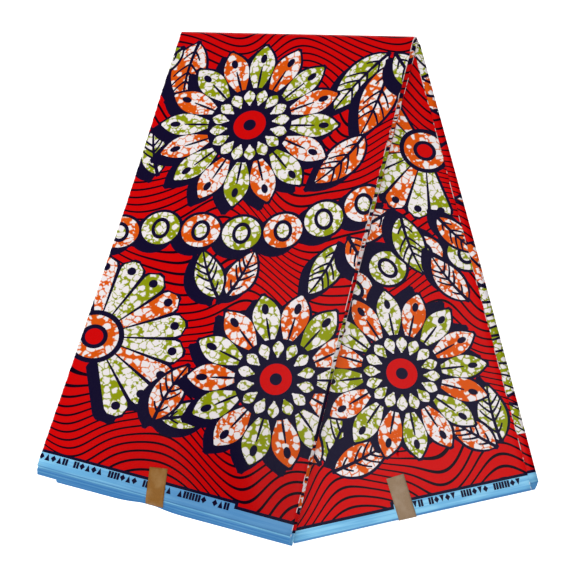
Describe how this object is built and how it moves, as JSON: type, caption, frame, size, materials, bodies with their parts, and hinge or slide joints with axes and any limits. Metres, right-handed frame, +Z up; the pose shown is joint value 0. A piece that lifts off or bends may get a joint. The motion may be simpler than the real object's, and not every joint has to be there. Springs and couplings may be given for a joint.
{
  "type": "folded wax print fabric length",
  "caption": "Length of printed wax cotton, pleated into a long flat strip and folded over its middle at a slant, with a paper band round each end.",
  "frame": {"origin": "middle of the footprint, on the underside", "axes": "+Y runs towards the fold where the strip turns over, +X to the right with the upper half leading off to the left, +Z up from the surface it lies on"},
  "size_m": [0.5852, 0.6218, 0.0188],
  "materials": {
    "printed_cotton": "smooth waxed cotton with a faint sheen, printed in navy, orange, green and white on red",
    "layered_cotton": "stacked fold edges of the same cloth, with light blue cut ends",
    "kraft_paper": "matt brown paper"
  },
  "bodies": {
    "root": {"front_face": "printed_cotton", "turn_over": "printed_cotton", "under_face": "printed_cotton", "back_face": "printed_cotton", "front_layers": "layered_cotton", "back_layers": "layered_cotton", "front_band": "kraft_paper", "back_band": "kraft_paper"}
  },
  "joints": []
}
